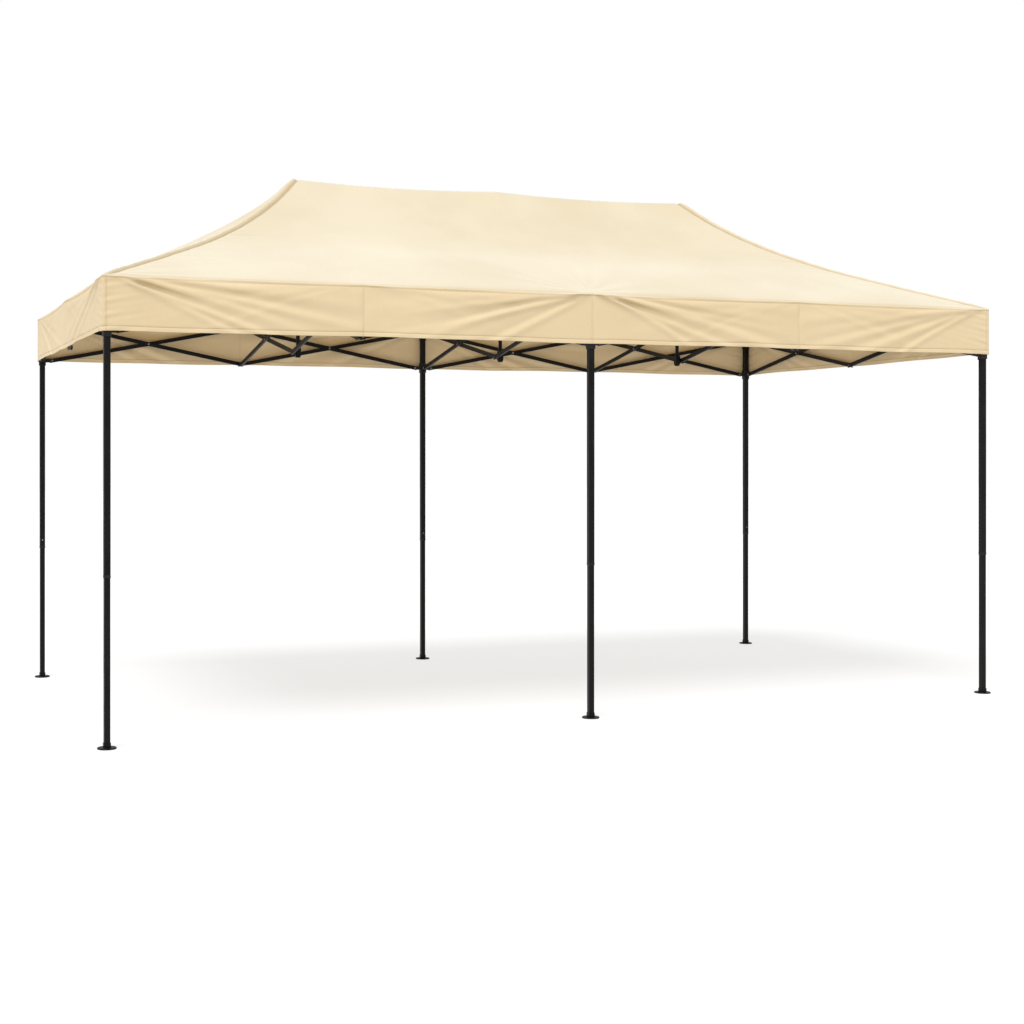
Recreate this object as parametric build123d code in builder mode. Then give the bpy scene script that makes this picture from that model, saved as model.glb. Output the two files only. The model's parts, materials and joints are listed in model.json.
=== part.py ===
"""Pop-up canopy: six telescoping legs, scissor trusses, three peak poles and a hipped fabric top.

Millimetres, +Z up, X along the long side. The origin is on the ground under the middle of the plan.
"""

import os
from math import asin, cos, degrees, radians, sin

from build123d import *

# ---- driving dimensions --------------------------------------------------------------------------
HALF_BAY = 1460  # from a leg to the middle of the bay beside it, along both plan directions
ARM = 70  # from a leg's axis to the first bar's pin
TRUSS_HEIGHT = 272  # between a truss's upper and lower pins when the canopy is open
PIN_TOP_Z = 2548  # the upper pins
PIN_LOW_Z = PIN_TOP_Z - TRUSS_HEIGHT  # the lower pins
BAR_SPAN = HALF_BAY - ARM  # a bar's pin-to-pin distance in plan
BAR_LENGTH = (BAR_SPAN**2 + TRUSS_HEIGHT**2) ** 0.5
BAR_SLOPE = degrees(asin(TRUSS_HEIGHT / BAR_LENGTH))

BAR_HEIGHT = 28
BAR_THICK = 12
BAR_WALL = 0.8
BAR_END = 15  # bar beyond its end pin
PLANE = 7  # a bar's mid-plane, to either side of its truss's plane
PIN_R = 4
HOLE_R = 4.05
HEAD_R = 7
HEAD_THICK = 1.8
HEAD_GAP = 0.2

TUBE = 36  # upper leg, square
TUBE_WALL = 1.2
TUBE_CORNER = 3
TUBE_BOTTOM_Z = 930
INNER_TUBE = 33.2  # lower leg, square
INNER_WALL = 1.1
INNER_CORNER = 2
INNER_TOP_Z = 1180
FOOT_R = 53
FOOT_THICK = 8
FOOT_ROUND = 4
SOCKET = 40
SOCKET_HEIGHT = 24
STAKE_R = 5
STAKE_SPACING = 76

BRACKET = 44  # top bracket, square
BRACKET_TOP_Z = 2561
BRACKET_HEIGHT = 68
BRACKET_CAP = 12  # solid top of a bracket, over the end of its tube
SLIDER = 46  # slider, square
SLIDER_HOLE = 36.6
SLIDER_HEIGHT = 72
COLLAR_CORNER = 5  # outer corners of brackets, sliders and sockets
BRACKET_CHAMFER = 2
CHEEK_THICK = 4
CHEEK_R = 13
CHEEK_GAP = 13.2  # between a clevis's two cheeks
CHEEK_SINK = 2  # how far a clevis's cheeks run into its collar
PIN_HEAD_R = 6

FORK_EAR = 4
FORK_GAP = 17
FORK_R = 13
FORK_ROOT = 34  # from a fork's pin to where its bar's tube starts
FORK_WEB = 20  # solid part between the ears and the tube
BALL_R = 8  # a swivel hub's ball
BOSS_R = 17
BOSS_DEPTH = 7
NECK_R = 5
NECK_START = 56  # from the long row's plane to where a swivel hub's neck is straight
CONE_END = 48
CONE_R = 8

POLE_R = 12.5  # peak pole
POLE_WALL = 1.5
POLE_TOP_Z = 3380
POLE_OFFSET = 32  # a peak pole stands this far beside its truss's plane
POLE_CAP = 3.5  # a top cap's lip round its pole
POLE_CAP_HEIGHT = 18
POLE_CAP_ROUND = 10
HUB_LOW = PIN_LOW_Z - 24
HUB_HIGH = PIN_LOW_Z + 40
HUB_DEPTH = 36
HUB_CORNER = 4
HUB_WALL = 5
HUB_PIN_ROOT = 2  # how far a lower hub's pin runs into the hub
HUB_GAP = 2  # between a lower hub and the bar beside it
HUB_SIDE = PLANE + BAR_THICK / 2 + HUB_GAP  # from the truss's plane to a lower hub's near face
HUB_CAP_HEIGHT = 10
HUB_CAP_ROUND = 4

EAVE_Z = 2576  # where the roof meets the valance
VALANCE_Z = 2268  # the valance's lower edge
FABRIC = 1.2
FABRIC_DROP = 1.6  # vertical thickness of the roof's sloping panels
EAVE_OUT = 28  # the fabric hangs this far outside the legs' axes
# the roof's height at each distance in from the eave: it sags between the eave and the ridge
ROOF_PROFILE = [(0, 2576), (450, 2765), (800, 2927), (1120, 3114), (1320, 3267), (1478, 3430)]

LEG_X = {"left": -2 * HALF_BAY, "middle": 0, "right": 2 * HALF_BAY}
LEG_Y = {"front": -HALF_BAY, "back": HALF_BAY}

os.makedirs("parts", exist_ok=True)


def save(node, solids):
    """Write one node's solids as one STEP file."""
    group = Compound(children=solids) if len(solids) > 1 else solids[0]
    group.label = node
    export_step(group, f"parts/{node}.step")


# ---- shared pieces -------------------------------------------------------------------------------
def truss_plane(x, y, z, along, offset, rise=0):
    """The plane of a flat piece in a truss: its X runs along the truss, rising by rise degrees."""
    run, up = cos(radians(rise)), sin(radians(rise))
    if along == "x":
        return Plane((x, y + offset, z), x_dir=(run, 0, up), z_dir=(0, -1, 0))
    return Plane((x + offset, y, z), x_dir=(0, run, up), z_dir=(1, 0, 0))


def cross_plane(x, y, z, along):
    """A plane at a pin, square to it, whose Z runs along the pin's axis (+Y or +X)."""
    axis = (0, 1, 0) if along == "x" else (1, 0, 0)
    side = (1, 0, 0) if along == "x" else (0, 1, 0)
    return Plane((x, y, z), x_dir=side, z_dir=axis)


def rivet(x, y, z, along):
    """A two-headed rivet through both bars of a truss."""
    plane = cross_plane(x, y, z, along)
    face = PLANE + BAR_THICK / 2 + HEAD_GAP
    with BuildPart() as piece:
        with BuildSketch(plane):
            Circle(PIN_R)
        extrude(amount=face, both=True)
        for side in (-1, 1):
            with BuildSketch(plane.offset(side * face)):
                Circle(HEAD_R)
            extrude(amount=side * HEAD_THICK)
    return piece.part


def truss_bar(x, y, z, along, offset, rising, short_start=0, short_end=0):
    """A flat tube from its first pin at x, y, z to its second, one bar span on and up or down."""
    plane = truss_plane(x, y, z, along, offset, BAR_SLOPE if rising else -BAR_SLOPE)
    start = -BAR_END + short_start
    length = BAR_LENGTH + BAR_END - short_end - start
    middle = start + length / 2
    with BuildPart() as bar:
        with BuildSketch(plane):
            with Locations((middle, 0)):
                Rectangle(length, BAR_HEIGHT)
        extrude(amount=BAR_THICK / 2, both=True)
        with BuildSketch(plane):
            with Locations((middle, 0)):
                Rectangle(length, BAR_HEIGHT - 2 * BAR_WALL)
        extrude(amount=BAR_THICK / 2 - BAR_WALL, both=True, mode=Mode.SUBTRACT)
        holes = [BAR_LENGTH / 2]
        holes += [] if short_start else [0]
        holes += [] if short_end else [BAR_LENGTH]
        with BuildSketch(plane):
            with Locations(*[(h, 0) for h in holes]):
                Circle(HOLE_R)
        extrude(amount=BAR_THICK, both=True, mode=Mode.SUBTRACT)
    return bar.part


def fork(x, y, z, toward, rising):
    """The forked end of a cross bar, whose ears hold a swivel hub's ball at x, y, z.

    toward is 1 where the bar leaves the ball in +Y, and -1 where it leaves in -Y.
    """
    plane = truss_plane(x, y, z, "y", 0, BAR_SLOPE if rising else -BAR_SLOPE)
    half = FORK_GAP / 2 + FORK_EAR
    web = toward * (FORK_ROOT - FORK_WEB / 2)
    with BuildPart() as piece:
        for side in (-1, 1):
            ear = plane.offset(side * FORK_GAP / 2)
            with BuildSketch(ear):
                Circle(FORK_R)
                with Locations((toward * FORK_ROOT / 2, 0)):
                    Rectangle(FORK_ROOT, 2 * FORK_R)
                Circle(HOLE_R, mode=Mode.SUBTRACT)
            extrude(amount=side * FORK_EAR)
        with BuildSketch(plane):
            with Locations((web, 0)):
                Rectangle(FORK_WEB, 2 * FORK_R)
        extrude(amount=half, both=True)
    return piece.part


def swivel_hub(x, row_y, z, inward):
    """A turned hub on a long row's pin: a boss beside the bars that narrows to a ball at the arm."""
    face = PLANE + BAR_THICK / 2 + HEAD_GAP
    outline = [
        (0, -face - HEAD_THICK),
        (HEAD_R, -face - HEAD_THICK),
        (HEAD_R, -face),
        (PIN_R, -face),
        (PIN_R, face),
        (BOSS_R, face),
        (BOSS_R, face + BOSS_DEPTH),
        (CONE_R, CONE_END),
        (NECK_R, NECK_START),
        (NECK_R, ARM),
        (0, ARM),
    ]
    plane = Plane((x, row_y, z), x_dir=(1, 0, 0), z_dir=(0, 0, inward))
    with BuildPart() as hub:
        with BuildSketch(plane):
            with BuildLine():
                Polyline(*outline, close=True)
            make_face()
        revolve(axis=Axis((x, row_y, z), (0, 1, 0)))
        with Locations((x, row_y + inward * ARM, z)):
            Sphere(BALL_R)
    return hub.part


def clevis(x, y, z, along, side, offset, root):
    """Two cheeks and a headed pin. root is from the leg's axis to the face the cheeks leave from."""
    level = truss_plane(x, y, z, along, 0)
    middle = offset * (-1 if along == "x" else 1)
    reach = ARM - root
    pieces = []
    for cheek in (-1, 1):
        inner = middle + cheek * CHEEK_GAP / 2
        with BuildPart() as plate:
            with BuildSketch(level.offset(inner)):
                with Locations((side * ARM, 0)):
                    Circle(CHEEK_R)
                with Locations((side * (root + reach / 2), 0)):
                    Rectangle(reach, 2 * CHEEK_R)
            extrude(amount=cheek * CHEEK_THICK)
        pieces.append(plate.part)
    with BuildPart() as pin:
        half = CHEEK_GAP / 2 + CHEEK_THICK
        centre = level.offset(middle)
        with BuildSketch(centre):
            with Locations((side * ARM, 0)):
                Circle(PIN_R)
        extrude(amount=half, both=True)
        for head in (-1, 1):
            with BuildSketch(centre.offset(head * half)):
                with Locations((side * ARM, 0)):
                    Circle(PIN_HEAD_R)
            extrude(amount=head * HEAD_THICK)
    pieces.append(pin.part)
    return pieces


# ---- legs ----------------------------------------------------------------------------------------
def arms_of(column, row):
    """The trusses that a leg carries: (direction, side) pairs."""
    arms = {"left": [("x", 1)], "middle": [("x", -1), ("x", 1)], "right": [("x", -1)]}[column]
    return arms + [("y", 1 if row == "front" else -1)]


def upper_leg(x, y, arms):
    """The outer tube, and the top bracket that its bars' upper ends are pinned to."""
    with BuildPart() as tube:
        with BuildSketch(Plane((x, y, TUBE_BOTTOM_Z))):
            RectangleRounded(TUBE, TUBE, TUBE_CORNER)
            inside = TUBE - 2 * TUBE_WALL
            RectangleRounded(inside, inside, TUBE_CORNER - TUBE_WALL, mode=Mode.SUBTRACT)
        extrude(amount=BRACKET_TOP_Z - BRACKET_CAP - TUBE_BOTTOM_Z)
    root = BRACKET / 2 - CHEEK_SINK
    clevises = [c for a, s in arms for c in clevis(x, y, PIN_TOP_Z, a, s, -s * PLANE, root)]
    with BuildPart() as bracket:
        with BuildSketch(Plane((x, y, BRACKET_TOP_Z))):
            RectangleRounded(BRACKET, BRACKET, COLLAR_CORNER)
        extrude(amount=-BRACKET_HEIGHT)
        chamfer(bracket.faces().sort_by(Axis.Z)[-1].edges(), BRACKET_CHAMFER)
        add(clevises)
        with BuildSketch(Plane((x, y, BRACKET_TOP_Z - BRACKET_CAP))):
            RectangleRounded(TUBE, TUBE, TUBE_CORNER)
        extrude(amount=-BRACKET_HEIGHT, mode=Mode.SUBTRACT)
    return [tube.part, bracket.part]


def slider(x, y, arms):
    """The collar that runs on the upper leg and carries the bars' lower ends."""
    root = SLIDER / 2 - CHEEK_SINK
    clevises = [c for a, s in arms for c in clevis(x, y, PIN_LOW_Z, a, s, s * PLANE, root)]
    with BuildPart() as collar:
        with BuildSketch(Plane((x, y, PIN_LOW_Z - SLIDER_HEIGHT / 2))):
            RectangleRounded(SLIDER, SLIDER, COLLAR_CORNER)
        extrude(amount=SLIDER_HEIGHT)
        add(clevises)
        with BuildSketch(Plane((x, y, PIN_LOW_Z - SLIDER_HEIGHT / 2))):
            RectangleRounded(SLIDER_HOLE, SLIDER_HOLE, TUBE_CORNER)
        extrude(amount=SLIDER_HEIGHT, mode=Mode.SUBTRACT)
    return [collar.part]


def lower_leg(x, y):
    """The inner tube, and the round foot with its square socket and two stake holes."""
    with BuildPart() as foot:
        with BuildSketch(Plane((x, y, 0))):
            Circle(FOOT_R)
            with Locations((-STAKE_SPACING / 2, 0), (STAKE_SPACING / 2, 0)):
                Circle(STAKE_R, mode=Mode.SUBTRACT)
        extrude(amount=FOOT_THICK)
        rim = foot.edges().filter_by(GeomType.CIRCLE).sort_by(SortBy.RADIUS)[-2:]
        fillet(rim.sort_by(Axis.Z)[-1], FOOT_ROUND)
        with BuildSketch(Plane((x, y, FOOT_THICK))):
            RectangleRounded(SOCKET, SOCKET, COLLAR_CORNER)
            RectangleRounded(INNER_TUBE, INNER_TUBE, INNER_CORNER, mode=Mode.SUBTRACT)
        extrude(amount=SOCKET_HEIGHT)
    with BuildPart() as tube:
        with BuildSketch(Plane((x, y, FOOT_THICK))):
            RectangleRounded(INNER_TUBE, INNER_TUBE, INNER_CORNER)
            inside = INNER_TUBE - 2 * INNER_WALL
            RectangleRounded(inside, inside, INNER_CORNER - INNER_WALL, mode=Mode.SUBTRACT)
        extrude(amount=INNER_TOP_Z - FOOT_THICK)
    return [tube.part, foot.part]


for row, y in LEG_Y.items():
    for column, x in LEG_X.items():
        arms = arms_of(column, row)
        save(f"{row}_{column}_upper_leg", upper_leg(x, y, arms))
        save(f"{row}_{column}_slider", slider(x, y, arms))
        save(f"{row}_{column}_lower_leg", lower_leg(x, y))


# ---- trusses -------------------------------------------------------------------------------------
def pair_start(x, y, along, pair):
    """Where a truss's crossed pair starts in plan. Even pairs start at a leg, odd ones in mid-bay."""
    run = 2 * HALF_BAY * (pair // 2) + (HALF_BAY if pair % 2 else ARM)
    return (x + run, y) if along == "x" else (x, y + run)


def moved(x, y, along, run):
    """A plan position moved along a truss."""
    return (x + run, y) if along == "x" else (x, y + run)


def truss(name, x, y, along, pairs):
    """The crossed bars of one outer truss, with the rivets at their crossings and mid-bay joints."""
    for pair in range(pairs):
        px, py = pair_start(x, y, along, pair)
        falling = truss_bar(px, py, PIN_TOP_Z, along, -PLANE, rising=False)
        rising = truss_bar(px, py, PIN_LOW_Z, along, PLANE, rising=True)
        cx, cy = moved(px, py, along, BAR_SPAN / 2)
        falling_solids = [falling, rivet(cx, cy, (PIN_TOP_Z + PIN_LOW_Z) / 2, along)]
        rising_solids = [rising]
        if pair % 2 == 0:
            mx, my = moved(px, py, along, BAR_SPAN)
            if along == "x":
                inward = 1 if y < 0 else -1
                falling_solids.append(swivel_hub(mx, my, PIN_LOW_Z, inward))
                if inward == -1:
                    rising_solids.append(swivel_hub(mx, my, PIN_TOP_Z, inward))
            else:
                falling_solids.append(rivet(mx, my, PIN_LOW_Z, along))
                rising_solids.append(rivet(mx, my, PIN_TOP_Z, along))
        save(f"{name}_truss_bar_{2 * pair + 1}", falling_solids)
        save(f"{name}_truss_bar_{2 * pair + 2}", rising_solids)


truss("front", LEG_X["left"], LEG_Y["front"], "x", pairs=4)
truss("back", LEG_X["left"], LEG_Y["back"], "x", pairs=4)
truss("left", LEG_X["left"], LEG_Y["front"], "y", pairs=2)
truss("right", LEG_X["right"], LEG_Y["front"], "y", pairs=2)

for name, x in (("left", -HALF_BAY), ("right", HALF_BAY)):
    save(f"{name}_mid_hub", [swivel_hub(x, LEG_Y["front"], PIN_TOP_Z, 1)])


def cross_bars(name, x, forked):
    """The four bars of an inner truss. Forked outer ends hold the swivel hubs' balls."""
    cut = FORK_ROOT + BAR_END if forked else 0
    front, back = LEG_Y["front"] + ARM, LEG_Y["back"] - ARM
    mid_z = (PIN_TOP_Z + PIN_LOW_Z) / 2
    bars = [
        # name, first pin's y and z, offset, rising, cut at its start, cut at its end
        (1, front, PIN_TOP_Z, -PLANE, False, cut, 0),
        (2, front, PIN_LOW_Z, PLANE, True, cut, 0),
        (3, 0, PIN_TOP_Z, -PLANE, False, 0, cut),
        (4, 0, PIN_LOW_Z, PLANE, True, 0, cut),
    ]
    for number, y, z, offset, is_rising, at_start, at_end in bars:
        solids = [truss_bar(x, y, z, "y", offset, is_rising, at_start, at_end)]
        if number in (1, 4):
            solids.append(rivet(x, y + BAR_SPAN / 2, mid_z, "y"))
        if number == 2:
            solids.append(rivet(x, 0, PIN_TOP_Z, "y"))
        if forked:
            toward = 1 if at_start else -1
            fork_y = front if at_start else back
            fork_z = PIN_TOP_Z if number in (1, 4) else PIN_LOW_Z
            solids.append(fork(x, fork_y, fork_z, toward, is_rising))
        save(f"{name}_cross_bar_{number}", solids)


cross_bars("left", -HALF_BAY, forked=True)
cross_bars("middle", 0, forked=False)
cross_bars("right", HALF_BAY, forked=True)


# ---- peak poles ----------------------------------------------------------------------------------
def peak_pole(name, x, side):
    """A pole standing in a lower hub, whose pin carries the inner truss's lower ends."""
    pole_x = x + side * POLE_OFFSET
    near = HUB_SIDE
    far = POLE_OFFSET + POLE_R + HUB_WALL
    with BuildPart() as tube:
        with BuildSketch(Plane((pole_x, 0, HUB_LOW))):
            Circle(POLE_R)
            Circle(POLE_R - POLE_WALL, mode=Mode.SUBTRACT)
        extrude(amount=POLE_TOP_Z - HUB_LOW)
    with BuildPart() as hub:
        with BuildSketch(Plane((x + side * (near + far) / 2, 0, HUB_LOW))):
            RectangleRounded(far - near, HUB_DEPTH, HUB_CORNER)
        extrude(amount=HUB_HIGH - HUB_LOW)
        with BuildSketch(Plane((x, 0, PIN_LOW_Z), x_dir=(0, 1, 0), z_dir=(1, 0, 0))):
            Circle(PIN_R)
        extrude(amount=side * (near + HUB_PIN_ROOT))
        with BuildSketch(Plane((x, 0, PIN_LOW_Z), x_dir=(0, 1, 0), z_dir=(1, 0, 0))):
            Circle(PIN_R)
        extrude(amount=-side * near)
        with BuildSketch(Plane((x - side * near, 0, PIN_LOW_Z), x_dir=(0, 1, 0), z_dir=(1, 0, 0))):
            Circle(HEAD_R)
        extrude(amount=-side * HEAD_THICK)
        with BuildSketch(Plane((pole_x, 0, HUB_LOW))):
            Circle(POLE_R)
        extrude(amount=HUB_HIGH - HUB_LOW, mode=Mode.SUBTRACT)
    with BuildPart() as bottom_cap:
        with BuildSketch(Plane((pole_x, 0, HUB_LOW))):
            Circle(POLE_R + HUB_WALL)
        extrude(amount=-HUB_CAP_HEIGHT)
        fillet(bottom_cap.faces().sort_by(Axis.Z)[0].edges(), HUB_CAP_ROUND)
    with BuildPart() as top_cap:
        with BuildSketch(Plane((pole_x, 0, POLE_TOP_Z))):
            Circle(POLE_R + POLE_CAP)
        extrude(amount=POLE_CAP_HEIGHT)
        fillet(top_cap.faces().sort_by(Axis.Z)[-1].edges(), POLE_CAP_ROUND)
    save(f"{name}_peak_pole", [tube.part, hub.part, bottom_cap.part, top_cap.part])


peak_pole("left", -HALF_BAY, 1)
peak_pole("middle", 0, 1)
peak_pole("right", HALF_BAY, -1)


# ---- fabric top ----------------------------------------------------------------------------------
# The cover is a thin shell of flat panels that meet face to face, each one convex, so that its
# collision follows the roof instead of filling the hollow under it.
def roof_ring(inset, z, shrink=0):
    """The four corners of the fabric at one height, anticlockwise from the front left."""
    half_x = LEG_X["right"] + EAVE_OUT - inset - shrink
    half_y = LEG_Y["back"] + EAVE_OUT - inset - shrink
    return [(-half_x, -half_y, z), (half_x, -half_y, z), (half_x, half_y, z), (-half_x, half_y, z)]


def panel(outside, inside):
    """A slab between two quadrilaterals whose corners match."""
    sides = [
        [outside[i], outside[(i + 1) % 4], inside[(i + 1) % 4], inside[i]] for i in range(4)
    ]
    return Solid(Shell([Face(Wire.make_polygon(loop)) for loop in [outside, inside, *sides]]))


outer_rings = [roof_ring(0, VALANCE_Z)] + [roof_ring(inset, z) for inset, z in ROOF_PROFILE]
inner_rings = [roof_ring(0, VALANCE_Z, FABRIC)]
inner_rings += [roof_ring(inset, z - FABRIC_DROP, FABRIC) for inset, z in ROOF_PROFILE]
panels = [panel(outer_rings[-1], inner_rings[-1])]
for low in range(len(ROOF_PROFILE)):
    for a in range(4):
        b = (a + 1) % 4
        outside, inside = (
            [rings[low][a], rings[low][b], rings[low + 1][b], rings[low + 1][a]]
            for rings in (outer_rings, inner_rings)
        )
        panels.append(panel(outside, inside))
save("canopy_cover", panels)
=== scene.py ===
"""The pop-up canopy's visual model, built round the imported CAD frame.

Metres, +Z up, +X along the long side.
"""

import json
import math
import random

import bmesh
import bpy
import numpy as np
from mathutils import Matrix, Vector

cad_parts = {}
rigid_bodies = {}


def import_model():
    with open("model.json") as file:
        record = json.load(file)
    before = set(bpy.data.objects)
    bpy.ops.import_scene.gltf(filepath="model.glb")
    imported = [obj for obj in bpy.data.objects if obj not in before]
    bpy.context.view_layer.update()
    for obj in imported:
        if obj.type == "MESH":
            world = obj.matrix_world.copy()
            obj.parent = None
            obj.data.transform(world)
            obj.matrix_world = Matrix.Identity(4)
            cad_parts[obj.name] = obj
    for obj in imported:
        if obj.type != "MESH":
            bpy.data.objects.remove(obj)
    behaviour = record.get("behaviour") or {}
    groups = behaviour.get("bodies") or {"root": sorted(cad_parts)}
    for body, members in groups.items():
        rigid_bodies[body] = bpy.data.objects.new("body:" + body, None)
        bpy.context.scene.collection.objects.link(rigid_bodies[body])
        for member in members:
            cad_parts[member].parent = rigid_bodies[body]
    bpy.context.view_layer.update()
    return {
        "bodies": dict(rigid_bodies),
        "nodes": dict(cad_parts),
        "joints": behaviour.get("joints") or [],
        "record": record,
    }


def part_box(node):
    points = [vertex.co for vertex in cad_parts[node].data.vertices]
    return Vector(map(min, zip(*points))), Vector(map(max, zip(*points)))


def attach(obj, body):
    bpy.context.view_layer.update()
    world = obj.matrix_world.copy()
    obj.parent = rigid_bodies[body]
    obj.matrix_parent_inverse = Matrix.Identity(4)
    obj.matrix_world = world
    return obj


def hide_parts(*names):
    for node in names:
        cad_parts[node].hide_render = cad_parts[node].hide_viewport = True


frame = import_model()
NODES = frame["nodes"]
BODIES = frame["bodies"]
JOINTS = {j["name"]: j for j in frame["joints"]}


# ---- places, read from the frame -----------------------------------------------------------------
def centre(node):
    low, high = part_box(node)
    return (Vector(low) + Vector(high)) / 2


COLUMNS = ("left", "middle", "right")
ROWS = ("front", "back")
ROOT = "front_middle_upper_leg"  # the body that every other hangs from; it carries the fabric
LEG_XY = {}
for row in ROWS:
    for column in COLUMNS:
        foot = centre(f"{row}_{column}_lower_leg")
        LEG_XY[row, column] = (foot.x, foot.y)

LEG_X = LEG_XY["front", "right"][0]
LEG_Y = LEG_XY["back", "right"][1]
HALF_BAY = LEG_Y
PIN_TOP_Z = JOINTS["frame_fold"]["pos_m"][2]
PIN_LOW_Z = JOINTS["middle_peak_pole_pivot"]["pos_m"][2]
ARM = JOINTS["frame_fold"]["pos_m"][1] + LEG_Y  # from a leg's axis to its pins
BAR_SPAN = HALF_BAY - ARM
SLOPE = math.atan2(PIN_TOP_Z - PIN_LOW_Z, BAR_SPAN)
BAR_PLANE = 0.007  # a bar's mid-plane, to either side of its truss's
BAR_HALF = 0.006  # half a bar's thickness
BAR_HEIGHT = 0.028
BAR_END = 0.015  # from a bar's end pin to its end

COVER_LOW, COVER_HIGH = (Vector(corner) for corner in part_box("canopy_cover"))
HALF_X, HALF_Y = COVER_HIGH.x, COVER_HIGH.y
PEAK_Z = COVER_HIGH.z
HEM_Z = COVER_LOW.z


# ---- materials -----------------------------------------------------------------------------------
class Nodes:
    """A short way to build one material's node tree."""

    def __init__(self, name):
        self.material = bpy.data.materials.new(name)
        self.material.use_nodes = True
        self.tree = self.material.node_tree
        self.shader = self.tree.nodes["Principled BSDF"]
        self.place = self.add("ShaderNodeTexCoord").outputs["Object"]

    def add(self, kind, **settings):
        node = self.tree.nodes.new(kind)
        for key, value in settings.items():
            setattr(node, key, value)
        return node

    def link(self, source, target):
        self.tree.links.new(source, target)

    def math(self, operation, a, b=0.0, c=0.0):
        node = self.add("ShaderNodeMath", operation=operation)
        for socket, value in zip(node.inputs, (a, b, c)):
            if isinstance(value, (int, float)):
                socket.default_value = value
            else:
                self.link(value, socket)
        return node.outputs[0]

    def noise(self, scale, detail=2.0, roughness=0.5, stretch=None):
        place = self.place
        if stretch:
            mapping = self.add("ShaderNodeMapping")
            mapping.inputs["Scale"].default_value = stretch
            self.link(place, mapping.inputs["Vector"])
            place = mapping.outputs[0]
        node = self.add("ShaderNodeTexNoise")
        node.inputs["Scale"].default_value = scale
        node.inputs["Detail"].default_value = detail
        node.inputs["Roughness"].default_value = roughness
        self.link(place, node.inputs["Vector"])
        return node.outputs["Fac"]

    def spread(self, value, low, high, new_low=0.0, new_high=1.0):
        node = self.add("ShaderNodeMapRange")
        names = ("From Min", "From Max", "To Min", "To Max")
        for key, number in zip(names, (low, high, new_low, new_high)):
            node.inputs[key].default_value = number
        self.link(value, node.inputs["Value"])
        return node.outputs[0]

    def mix(self, factor, a, b):
        node = self.add("ShaderNodeMix", data_type="RGBA")
        for socket, value in ((node.inputs[0], factor), (node.inputs[6], a), (node.inputs[7], b)):
            if isinstance(value, (int, float)):
                socket.default_value = value
            elif isinstance(value, tuple):
                socket.default_value = (*value, 1.0)
            else:
                self.link(value, socket)
        return node.outputs[2]

    def axes(self):
        node = self.add("ShaderNodeSeparateXYZ")
        self.link(self.place, node.inputs[0])
        return node.outputs

    def bump(self, height, distance, strength=1.0, under=None):
        node = self.add("ShaderNodeBump")
        node.inputs["Strength"].default_value = strength
        node.inputs["Distance"].default_value = distance
        self.link(height, node.inputs["Height"])
        if under:
            self.link(under, node.inputs["Normal"])
        return node.outputs["Normal"]

    def finish(self, **sockets):
        for name, value in sockets.items():
            socket = self.shader.inputs[name.replace("_", " ")]
            if isinstance(value, tuple):
                socket.default_value = (*value, 1.0)
            elif isinstance(value, (int, float)):
                socket.default_value = value
            else:
                self.link(value, socket)
        return self.material


FULL_TURN = 2 * math.pi
THREAD_PITCH = 0.0016
STITCH_PITCH = 0.006
# each pair of tones is mixed by a faint mottling
VALANCE_TONES = ((0.683, 0.538, 0.330), (0.712, 0.570, 0.357))
# the roof's tones are paler than the valance's and palest on level faces: painted sheen
STEEP_ROOF_PAINTED_SHEEN_TONES = ((0.600, 0.522, 0.372), (0.646, 0.574, 0.430))
FLAT_ROOF_PAINTED_SHEEN_TONES = ((0.650, 0.585, 0.450), (0.690, 0.635, 0.505))
# the underside's tones are a darker, deeper copy of the cloth: painted shade, for the dim light
# under the roof
UNDERSIDE_PAINTED_SHADE_TONES = ((0.535, 0.395, 0.188), (0.575, 0.43, 0.212))
FLECK_TONE = (0.56, 0.43, 0.25)
# the thread's dark colour, which also paints the shadow beside each hip's welt
STITCH_AND_PAINTED_SHADOW_TONE = (0.36, 0.26, 0.13)


def weave_threads(m, pitch):
    """A plain weave's height: threads along the slope or up the valance, and across."""
    scale = FULL_TURN / pitch
    x, y, z = m.axes()
    along = m.math("SINE", m.math("MULTIPLY", x, scale))
    across = m.math("SINE", m.math("MULTIPLY", m.math("ADD", y, z), scale))
    return m.math("MULTIPLY", along, across)


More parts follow.
